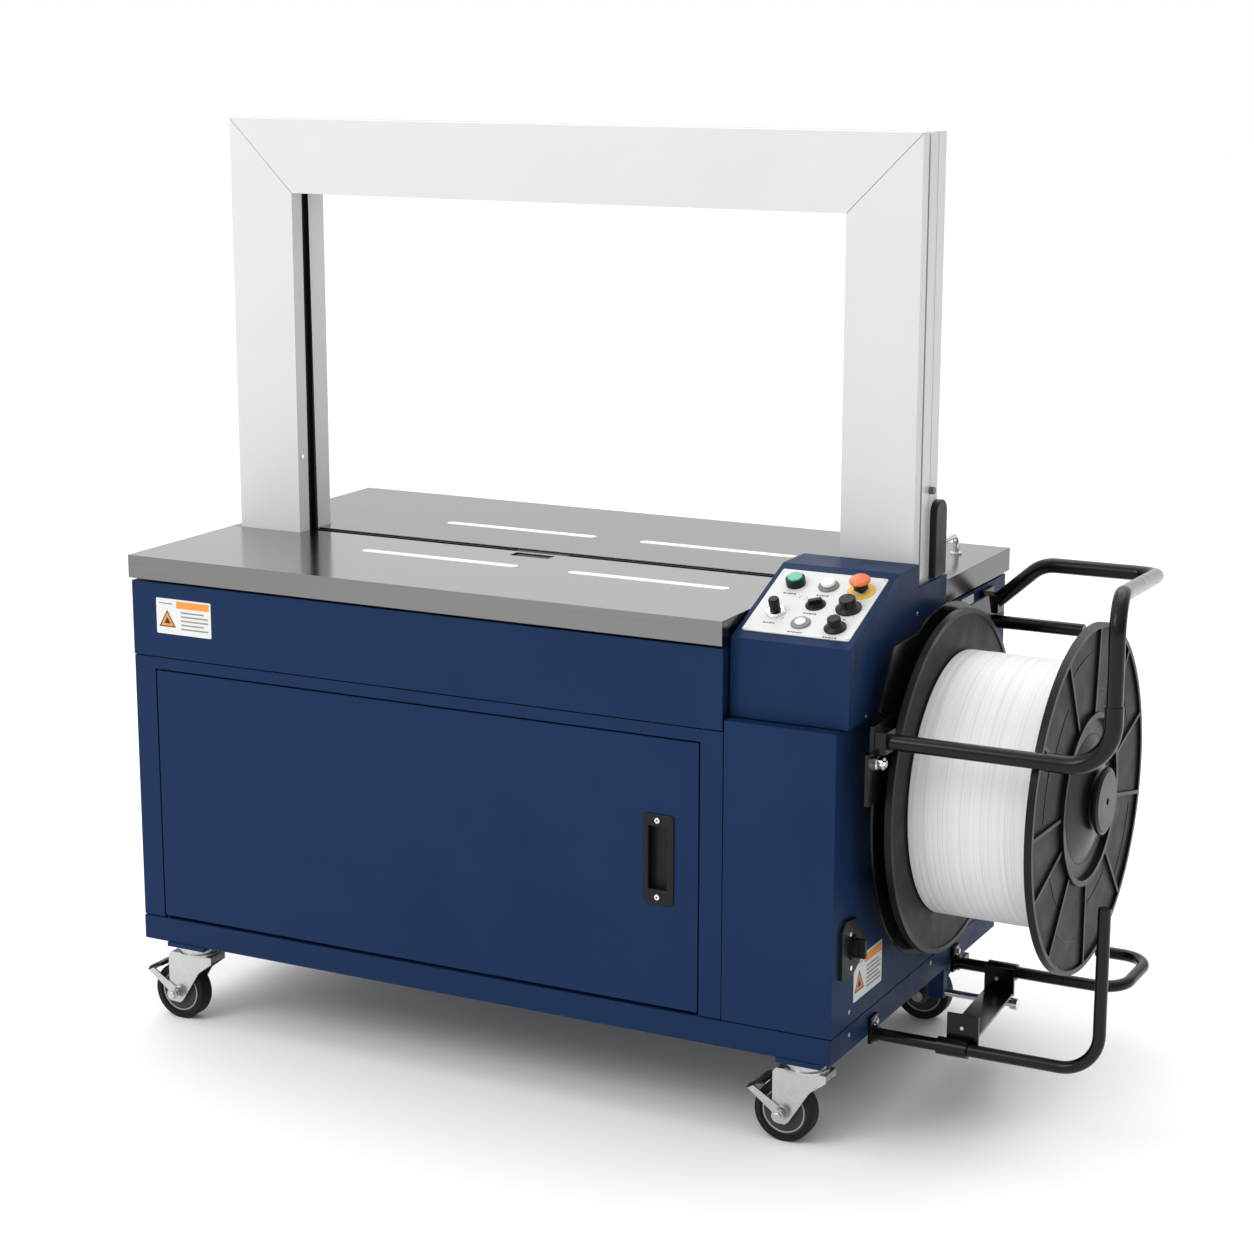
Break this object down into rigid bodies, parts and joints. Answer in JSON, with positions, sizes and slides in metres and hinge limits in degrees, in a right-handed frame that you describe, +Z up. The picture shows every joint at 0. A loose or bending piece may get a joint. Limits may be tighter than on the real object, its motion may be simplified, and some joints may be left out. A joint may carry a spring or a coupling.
{
  "type": "semi automatic strapping machine",
  "caption": "Cabinet strapping machine on casters with a hinged stainless table, strap arch, sloping control console and an outboard strap reel inside tube guards.",
  "frame": {"origin": "centre of the bounding box's footprint, on the floor", "axes": "+X along the table towards the reel, +Y from the console side to the back, +Z up"},
  "size_m": [1.7208, 0.754, 1.548],
  "materials": {
    "navy_paint": "semi-gloss blue powder coat",
    "control_plate_paint": "satin blue plate",
    "chrome": "polished",
    "arch_paint": "off-white powder coat",
    "aluminium": "extruded, clear anodised",
    "black_plastic": "moulded",
    "black_paint": "gloss black",
    "machined_steel": "ground",
    "motor_paint": "grey machine enamel",
    "belt_rubber": "matt",
    "zinc_steel": "bright zinc plate",
    "box_paint": "light grey powder coat",
    "green_plastic": "translucent moulded",
    "white_plastic": "translucent moulded",
    "red_plastic": "moulded",
    "flange_plastic": "moulded, fine texture",
    "strap_plastic": "embossed polypropylene strap",
    "stainless": "brushed along the length",
    "glide_plastic": "low-friction nylon",
    "tyre_rubber": "solid tyre on a grey hub"
  },
  "bodies": {
    "machine": {"cabinet_frame": "navy_paint", "front_upper_panel": "navy_paint", "front_lower_panel": "navy_paint", "door_surround": "navy_paint", "left_side_panel": "navy_paint", "right_side_panel": "navy_paint", "rear_panel": "navy_paint", "console_housing": "navy_paint", "control_plate": "control_plate_paint", "control_bezels": "chrome", "arch_front_cover": "arch_paint", "arch_back_cover": "arch_paint", "strap_track": "aluminium", "column_boot": "black_plastic", "reel_back_plate": "black_paint", "reel_spindle": "machined_steel", "upper_guard_tube": "black_paint", "lower_guard_tubes": "black_paint", "guard_brackets": "black_paint", "reel_brace": "black_paint", "main_switch_plate": "black_plastic", "fasteners": "chrome", "strapping_head": "machined_steel", "gear_motor": "motor_paint", "drive_belt": "belt_rubber", "strap_magazine": "zinc_steel", "electrical_box": "box_paint"},
    "front_left_caster": {"front_left_fork": "zinc_steel"},
    "front_left_wheel": {"front_left_wheel": "tyre_rubber"},
    "front_right_caster": {"front_right_fork": "zinc_steel"},
    "front_right_wheel": {"front_right_wheel": "tyre_rubber"},
    "rear_left_caster": {"rear_left_fork": "zinc_steel"},
    "rear_left_wheel": {"rear_left_wheel": "tyre_rubber"},
    "rear_right_caster": {"rear_right_fork": "zinc_steel"},
    "rear_right_wheel": {"rear_right_wheel": "tyre_rubber"},
    "left_pedal": {"left_brake_pedal": "zinc_steel"},
    "right_pedal": {"right_brake_pedal": "zinc_steel"},
    "start_button": {"start_button": "green_plastic"},
    "lamp_button": {"lamp_button": "white_plastic"},
    "stop_button": {"stop_button": "red_plastic"},
    "mode_knob": {"mode_knob": "black_plastic"},
    "selector_knob": {"selector_knob": "black_plastic"},
    "speed_knob": {"speed_knob": "black_plastic"},
    "feed_button": {"feed_button": "black_plastic"},
    "tension_knob": {"tension_knob": "black_plastic"},
    "main_switch": {"main_switch_knob": "black_plastic"},
    "reel": {"inner_flange": "flange_plastic", "outer_flange": "flange_plastic", "strap_coil": "strap_plastic", "reel_hub_nut": "black_plastic"},
    "cam_shaft": {"cam_shaft": "machined_steel"},
    "motor_pulley": {"motor_pulley": "machined_steel"},
    "feed_roller": {"feed_roller": "belt_rubber"},
    "door": {"door_panel": "navy_paint", "door_handle": "black_plastic"},
    "front_table": {"front_table_plate": "stainless", "front_glide_strips": "glide_plastic"},
    "rear_table": {"rear_table_plate": "stainless", "rear_glide_strips": "glide_plastic", "lift_handle": "chrome"}
  },
  "joints": [
    {"name": "front_left_swivel", "type": "hinge", "parent": "machine", "child": "front_left_caster", "pos_m": [-0.76755, -0.337, 0.13], "axis": [0, 0, 1], "continuous": true},
    {"name": "front_left_wheel_spin", "type": "hinge", "parent": "front_left_caster", "child": "front_left_wheel", "pos_m": [-0.80156, -0.337, 0.05], "axis": [0, 1, 0], "continuous": true},
    {"name": "front_right_swivel", "type": "hinge", "parent": "machine", "child": "front_right_caster", "pos_m": [0.39044, -0.337, 0.13], "axis": [0, 0, 1], "continuous": true},
    {"name": "front_right_wheel_spin", "type": "hinge", "parent": "front_right_caster", "child": "front_right_wheel", "pos_m": [0.35645, -0.337, 0.05], "axis": [0, 1, 0], "continuous": true},
    {"name": "rear_left_swivel", "type": "hinge", "parent": "machine", "child": "rear_left_caster", "pos_m": [-0.76755, 0.258, 0.13], "axis": [0, 0, 1], "continuous": true},
    {"name": "rear_left_wheel_spin", "type": "hinge", "parent": "rear_left_caster", "child": "rear_left_wheel", "pos_m": [-0.80156, 0.258, 0.05], "axis": [0, 1, 0], "continuous": true},
    {"name": "rear_right_swivel", "type": "hinge", "parent": "machine", "child": "rear_right_caster", "pos_m": [0.39044, 0.258, 0.13], "axis": [0, 0, 1], "continuous": true},
    {"name": "rear_right_wheel_spin", "type": "hinge", "parent": "rear_right_caster", "child": "rear_right_wheel", "pos_m": [0.35645, 0.258, 0.05], "axis": [0, 1, 0], "continuous": true},
    {"name": "left_brake", "type": "hinge", "parent": "front_left_caster", "child": "left_pedal", "pos_m": [-0.80156, -0.337, 0.05], "axis": [0, 1, 0], "range_deg": [-8, 12]},
    {"name": "right_brake", "type": "hinge", "parent": "front_right_caster", "child": "right_pedal", "pos_m": [0.35645, -0.337, 0.05], "axis": [0, 1, 0], "range_deg": [-8, 12]},
    {"name": "door_hinge", "type": "hinge", "parent": "machine", "child": "door", "pos_m": [-0.80456, -0.368, 0.4], "axis": [0, 0, -1], "range_deg": [0, 110]},
    {"name": "front_table_hinge", "type": "hinge", "parent": "machine", "child": "front_table", "pos_m": [-0.30656, -0.368, 0.799], "axis": [1, 0, 0], "range_deg": [0, 80]},
    {"name": "rear_table_hinge", "type": "hinge", "parent": "machine", "child": "rear_table", "pos_m": [-0.20655, 0.368, 0.799], "axis": [-1, 0, 0], "range_deg": [0, 80]},
    {"name": "reel_spin", "type": "hinge", "parent": "machine", "child": "reel", "pos_m": [0.61345, -0.022, 0.523], "axis": [1, 0, 0], "continuous": true},
    {"name": "start_press", "type": "slide", "parent": "machine", "child": "start_button", "axis": [0, 0.387, -0.9221], "range_m": [0, 0.004], "stiffness_N_per_m": 500, "springref_m": -0.001},
    {"name": "lamp_press", "type": "slide", "parent": "machine", "child": "lamp_button", "axis": [0, 0.387, -0.9221], "range_m": [0, 0.003], "stiffness_N_per_m": 500, "springref_m": -0.001},
    {"name": "stop_press", "type": "slide", "parent": "machine", "child": "stop_button", "axis": [0, 0.387, -0.9221], "range_m": [0, 0.004], "stiffness_N_per_m": 800, "springref_m": -0.001},
    {"name": "feed_press", "type": "slide", "parent": "machine", "child": "feed_button", "axis": [0, 0.387, -0.9221], "range_m": [0, 0.0025], "stiffness_N_per_m": 500, "springref_m": -0.001},
    {"name": "mode_turn", "type": "hinge", "parent": "machine", "child": "mode_knob", "pos_m": [0.30245, -0.28361, 0.82886], "axis": [0, -0.387, 0.9221], "range_deg": [-45, 45]},
    {"name": "selector_turn", "type": "hinge", "parent": "machine", "child": "selector_knob", "pos_m": [0.35645, -0.25595, 0.84047], "axis": [0, -0.387, 0.9221], "range_deg": [-60, 30]},
    {"name": "speed_turn", "type": "hinge", "parent": "machine", "child": "speed_knob", "pos_m": [0.41145, -0.25687, 0.84009], "axis": [0, -0.387, 0.9221], "range_deg": [-140, 140]},
    {"name": "tension_turn", "type": "hinge", "parent": "machine", "child": "tension_knob", "pos_m": [0.41045, -0.30574, 0.81958], "axis": [0, -0.387, 0.9221], "range_deg": [-140, 140]},
    {"name": "main_switch_turn", "type": "hinge", "parent": "machine", "child": "main_switch", "pos_m": [0.45344, -0.301, 0.32], "axis": [1, 0, 0], "range_deg": [0, 90]},
    {"name": "cam_spin", "type": "hinge", "parent": "machine", "child": "cam_shaft", "pos_m": [-0.25655, -0.057, 0.6], "axis": [1, 0, 0], "continuous": true},
    {"name": "motor_spin", "type": "hinge", "parent": "machine", "child": "motor_pulley", "pos_m": [-0.16656, 0.048, 0.525], "axis": [1, 0, 0], "continuous": true},
    {"name": "feed_spin", "type": "hinge", "parent": "machine", "child": "feed_roller", "pos_m": [-0.00856, -0.027, 0.736], "axis": [0, 1, 0], "continuous": true}
  ],
  "couplings": [
    {"joint": "motor_spin", "follows": "cam_spin", "ratio": 1.6}
  ]
}
